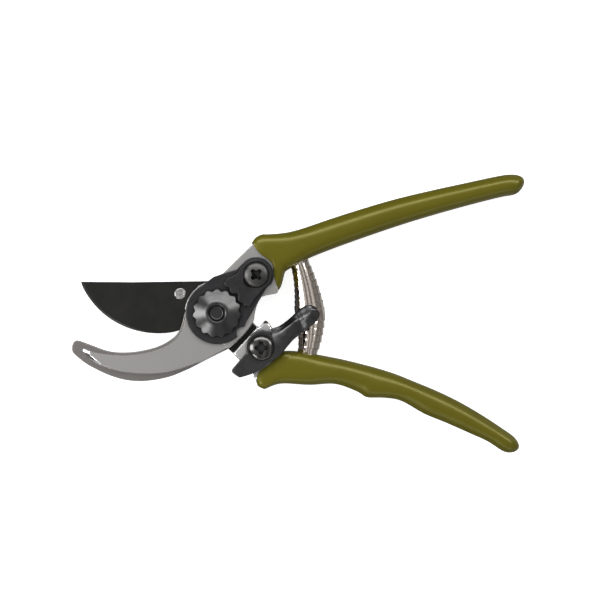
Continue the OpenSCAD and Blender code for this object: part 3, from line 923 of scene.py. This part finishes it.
def locking_segment():
    """The toothed segment: a pocket for the screw's head and a crescent slot."""
    outline = ([polar(toothed(a, 1.4), a) for a in range(70, 14, -1)]
               + curve([(13.4, 3.2), (14.2, 2.9), (15, 3.4), (17.6, 7.1), (21.6, 11.6)], 4)[:-1]
               + arc(7, -48, 138, 26, SEGMENT_AT)
               + curve([(10.6, 20), (9.2, 17.9), (7.1, 16.6), (4.9, 15.6), (3.7, 14.2),
                        (3.3, 12.9)], 4))
    obj = plate("segment", outline, round_profile(Z_NUT, SEGMENT_TOP, 0.1, 0.3), spacing=0.35,
                hold=0.08)
    pocket = arc(5.95, 0, 352, 45, SEGMENT_AT)
    slot = arc(3.4, 0, 345, 24, polar(3.5, 225, SEGMENT_AT))
    cutters = [plate("pocket", pocket, [(0, SEGMENT_TOP - 0.8), (0, SEGMENT_TOP + 0.5)]),
               plate("slot", slot, [(0, Z_NUT - 0.5), (0, SEGMENT_TOP + 0.6)])]
    obj = combine(obj, cutters, "DIFFERENCE")
    obj.name = "toothed_segment"
    return place(obj, "locking_segment", "hook_side", BLACK)


locking_segment()


# ---------------------------------------------------------------- screws

SCREW_R = 5.6
SCREW_HEAD_H = 2.6


def cross_screw(name, node, body, turn, material):
    """A pan head with a rounded rim and a tapered cross recess, turned by turn degrees."""
    at = centre_of(node)
    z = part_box(node)[1][2] / MM - SCREW_HEAD_H
    r = SCREW_R
    dome = [(3, z - 4), (3, z), (r - 0.15, z), (r, z + 0.15), (r, z + 0.65)]
    dome += [(r * math.cos(math.radians(a)) ** 0.9, z + 0.65 + 1.95 * math.sin(math.radians(a)))
             for a in range(8, 89, 8)]
    obj = revolve(name, dome + [(0.02, z + SCREW_HEAD_H)], at, columns=96, sharp=40)
    top = z + SCREW_HEAD_H + 0.2
    # The recess: level, length and half width of its arms, and its inner corners
    rings = []
    for level, reach, half, waist in ((z - 2.6, 2.0, 0.4, 0.8), (top, 3.0, 0.72, 1.25)):
        ring = []
        for k in range(4):
            for u, v in ((reach, -half), (reach, half), (waist, waist)):
                a = math.radians(90 * k + turn)
                ring.append((at[0] + u * math.cos(a) - v * math.sin(a),
                             at[1] + u * math.sin(a) + v * math.cos(a), level))
        rings.append(ring)
    cutter = make("cutter", *stack(rings))
    obj = combine(obj, [cutter], "DIFFERENCE", sharp=35)
    obj.name = name
    return place(obj, node, body, material)


cross_screw("segment_pan_head", "segment_screw", "hook_side", 45, SCREW_BLACK)
# The catch screw takes the copy of the screw finish whose colour is painted lighter: a painted
# highlight.
cross_screw("catch_pan_head", "catch_screw", "blade_side", 0, SCREW_PAINTED_LIGHTER)


# ---------------------------------------------------------------- thumb catch

def part_way(p, q, f):
    """The point a share f of the way from p to q in plan."""
    return tuple(a * (1 - f) + b * f for a, b in zip(p, q))


def thumb_catch():
    """Flat tail and body, round boss, and a ridged lever that swells into the thumb knob."""
    base, top = Z_NUT + 0.3, Z_NUT + 2.9
    body = plate("flat", curve([(29.1, -4.6), (25.9, -7.3), (23.5, -8), (20, -7.5),
                                (16.4, -8.8), (14.4, -11.2), (13.4, -14.4), (13.2, -17.8)], 5)
                 + [(10, -21.4)]
                 + curve([(6.9, -25), (6.8, -26.4), (9.5, -28.5), (11.4, -28.6),
                          (18.1, -26.2), (22.4, -23), (28.4, -18.9), (31.9, -14.4)], 5),
                 round_profile(base, top, 0.35, 0.6))
    boss = revolve("boss", [(6.5, BOSS_FACE + 0.1), (6.9, BOSS_FACE + 0.5), (7.1, top - 0.35),
                            (6.9, top - 0.05), (6.6, top + 0.12), (6.3, top + 0.12),
                            (6.05, top - 0.05), (5.95, top - 0.3), (5.7, top - 0.35)], CATCH_AT)
    rows = curve([
        # upper edge, ridge and lower edge (x, y each), then the levels of the underside,
        # the ridge and the edges
        (24.0, -7.0, 25.0, -11.0, 26.4, -20.0, base, top + 0.1, top - 0.2),
        (27.6, -5.9, 28.6, -8.8, 30.2, -16.6, base, top + 1.3, top - 0.1),
        (31.0, -3.6, 32.0, -6.2, 33.6, -12.6, base + 0.2, top + 2.7, top + 0.3),
        (33.6, -1.4, 34.8, -4.2, 36.4, -10.2, base + 0.8, top + 3.4, top + 0.8),
        (35.6, 0.5, 37.0, -3.2, 38.6, -8.6, base + 1.2, top + 3.0, top + 1.2),
        (37.4, 2.1, 39.4, -1.8, 41.2, -6.5, base + 1.6, top + 4.5, top + 2.5),
        (39.4, 3.3, 41.6, -0.6, 44.0, -4.2, base + 2.0, top + 5.3, top + 3.4),
        (41.8, 3.7, 43.0, 1.4, 45.7, -1.8, base + 2.5, top + 5.3, top + 3.8),
        (44.0, 2.8, 44.6, 1.6, 46.0, 0.0, base + 3.3, top + 4.6, top + 3.6),
        (45.0, 1.8, 45.2, 1.3, 45.7, 0.7, base + 3.9, top + 3.9, top + 3.3),
    ], 5)
    rings = []
    for tx, ty, rx, ry, bx, by, under, ridge, side in rows:
        upper, crest, lower = (tx, ty), (rx, ry), (bx, by)
        low = (under + side) / 2
        flank = side * 0.45 + ridge * 0.55
        rings.append(curve([
            (*upper, low), (*part_way(upper, crest, 0.03), side),
            (*part_way(upper, crest, 0.5), flank), (*crest, ridge),
            (*part_way(crest, lower, 0.5), flank), (*part_way(crest, lower, 0.94), side),
            (*lower, low), (*part_way(crest, lower, 0.92), under),
            (*part_way(upper, lower, 0.5), under - 0.05),
            (*part_way(upper, crest, 0.08), under),
        ], 3))
    lever = make("lever", *stack(rings))
    obj = combine(body, [boss, lever], "UNION")
    obj.modifiers.clear()
    obj.name = "catch_lever"
    melt(obj, 0.22, 3)
    return place(obj, "thumb_catch", "catch", CATCH_BLACK)


thumb_catch()


# ---------------------------------------------------------------- spring

SPRING_TURNS = 14
SPRING_STEPS = 72
SPRING_END_R, SPRING_MID_R = 4.0, 6.75
STRIP_W, STRIP_T = 5.2, 0.3
# How far the strip's ends reach past the path's ends, into the grips
TUCK_TOP, TUCK_LOW = 3.2, 3.4


def volute_spring():
    """The strip wound out to the middle turn and in again."""
    total = SPRING_TURNS * SPRING_STEPS
    sweep = SPRING_TOP_DEG - SPRING_LOW_DEG
    span = math.radians(sweep) * SPRING_TOP_R
    half_w = STRIP_W / 2
    run = span - STRIP_W + TUCK_TOP + TUCK_LOW
    section = [(-0.5, -0.96), (-0.5, 0.96), (-0.2, 1), (0.2, 1), (0.5, 0.96), (0.5, -0.96),
               (0.2, -1), (-0.2, -1)]
    rings, weights = [], []
    for i in range(total + 1):
        w = i / total
        r = SPRING_END_R + (SPRING_MID_R - SPRING_END_R) * (1 - abs(1 - 2 * w ** 1.2))
        turn = 2 * math.pi * i / SPRING_STEPS
        ring = []
        for across, side in section:
            rho = r + across * STRIP_T
            u = (half_w - TUCK_TOP + run * w + side * half_w) / span
            x, y = polar(spring_r(u) + rho * math.cos(turn), SPRING_TOP_DEG - u * sweep)
            ring.append((x, y, Z_GRIP + rho * math.sin(turn)))
        rings.append(ring)
        weights += [w] * len(section)
    n = len(section)
    points = [p for ring in rings for p in ring]
    faces = [(j * n + i, j * n + (i + 1) % n, (j + 1) * n + (i + 1) % n, (j + 1) * n + i)
             for j in range(total) for i in range(n)]
    faces += [tuple(range(n)), tuple(range(total * n + n - 1, total * n - 1, -1))]
    obj = make("volute_strip", points, faces, sharp=40)
    obj.data.materials.append(NICKEL)
    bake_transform(obj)
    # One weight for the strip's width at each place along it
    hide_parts("spring")
    return obj


volute_spring()


# ---------------------------------------------------------------- CAD nodes that stay

KEPT = {
    "segment_washer": STEEL, "bolt_washer": STEEL,
    "stop_buffer": RUBBER, "pivot_bushing": BRONZE,
    "catch_washer": STEEL,
}
for kept_name, kept_material in KEPT.items():
    kept = nodes[kept_name]
    kept.data.materials.clear()
    kept.data.materials.append(kept_material)


# ---------------------------------------------------------------- floor, lights and camera

# Metres, except SKY_WAVES: radians of light and dark strips from straight up to the right
FLOOR_HALF = 1.5
FLOOR_GAP = 0.0002
SKY_WAVES = 12
# Each softbox: name, place, the point it faces, its two sides and its power in watts
SOFTBOXES = [
    ("top_box", (0.04, 0.70, 0.68), (0.04, 0, 0), (1.3, 0.34), 8),
    ("left_box", (-0.72, 0.0, 0.58), (0.02, 0, 0), (0.36, 0.6), 6),
    ("right_box", (0.72, 0.40, 0.55), (0.03, 0, 0), (0.3, 0.36), 2.1),
    ("low_box", (-0.45, -0.6, 0.5), (-0.02, 0, 0), (0.3, 0.2), 1.8),
    ("rim_box", (0.06, -0.95, 0.2), (0.06, 0, 0), (1.3, 0.3), 1.5),
]


def softbox(name, at, aim, size, power):
    """A rectangular area light that faces a point."""
    light = bpy.data.lights.new(name, "AREA")
    light.shape = "RECTANGLE"
    light.size, light.size_y = size
    light.energy = power
    obj = bpy.data.objects.new(name, light)
    obj.location = at
    obj.rotation_euler = (Vector(aim) - Vector(at)).to_track_quat("-Z", "Y").to_euler()
    bpy.context.scene.collection.objects.link(obj)


def studio():
    """The pale floor, the sky that the metal mirrors, and the soft lights."""
    floor_mesh = bpy.data.meshes.new("floor")
    half = FLOOR_HALF
    floor_mesh.from_pydata([(-half, -half, 0), (half, -half, 0), (half, half, 0),
                            (-half, half, 0)], [], [(0, 1, 2, 3)])
    floor = bpy.data.objects.new("floor", floor_mesh)
    floor.location.z = cad_box[0][2] - FLOOR_GAP
    bpy.context.scene.collection.objects.link(floor)
    material, tree, shader, coords = node_tree("pale_floor")
    white = mix_colours(tree, noise(tree, coords, 3, 2), (0.58, 0.58, 0.58), (0.6, 0.6, 0.6))
    tree.links.new(white, shader.inputs["Base Color"])
    shader.inputs["Emission Color"].default_value = (0.86, 0.86, 0.86, 1)
    shader.inputs["Emission Strength"].default_value = 1.0
    shader.inputs["Roughness"].default_value = 0.9
    shader.inputs["Specular IOR Level"].default_value = 0.1
    floor_mesh.materials.append(material)
    floor.visible_glossy = False

    world = bpy.data.worlds.new("studio")
    world.use_nodes = True
    world.node_tree.nodes["Background"].inputs["Color"].default_value = (1, 1, 1, 1)
    tree = world.node_tree
    direction = tree.nodes.new("ShaderNodeTexCoord")
    split = tree.nodes.new("ShaderNodeSeparateXYZ")
    tree.links.new(direction.outputs["Generated"], split.inputs["Vector"])
    rise = tree.nodes.new("ShaderNodeMapRange")
    rise.inputs["From Min"].default_value = 0.1
    rise.inputs["From Max"].default_value = 0.8
    rise.inputs["To Max"].default_value = 0.42
    tree.links.new(split.outputs["Z"], rise.inputs["Value"])
    tree.links.new(ramp(tree, split.outputs["X"], -0.3, 0.9, 0.05, 0.4), rise.inputs["To Min"])
    wave = maths(tree, "SINE", maths(tree, "MULTIPLY", split.outputs["X"], SKY_WAVES))
    strips = maths(tree, "MULTIPLY", rise.outputs["Result"], ramp(tree, wave, -1, 1, 0.4, 1.6))
    tree.links.new(strips, tree.nodes["Background"].inputs["Strength"])
    bpy.context.scene.world = world
    for box in SOFTBOXES:
        softbox(*box)


def camera():
    """A long lens straight above, which takes in width metres at the reference level."""
    data = bpy.data.cameras.new("camera")
    data.lens, data.sensor_width = 150, 36
    obj = bpy.data.objects.new("camera", data)
    reference, width = 0.012, 0.270
    obj.location = (0.0372, 0.00585, reference + width * data.lens / data.sensor_width)
    bpy.context.scene.collection.objects.link(obj)
    bpy.context.scene.camera = obj


studio()
camera()
bpy.context.scene.view_settings.view_transform = "Standard"
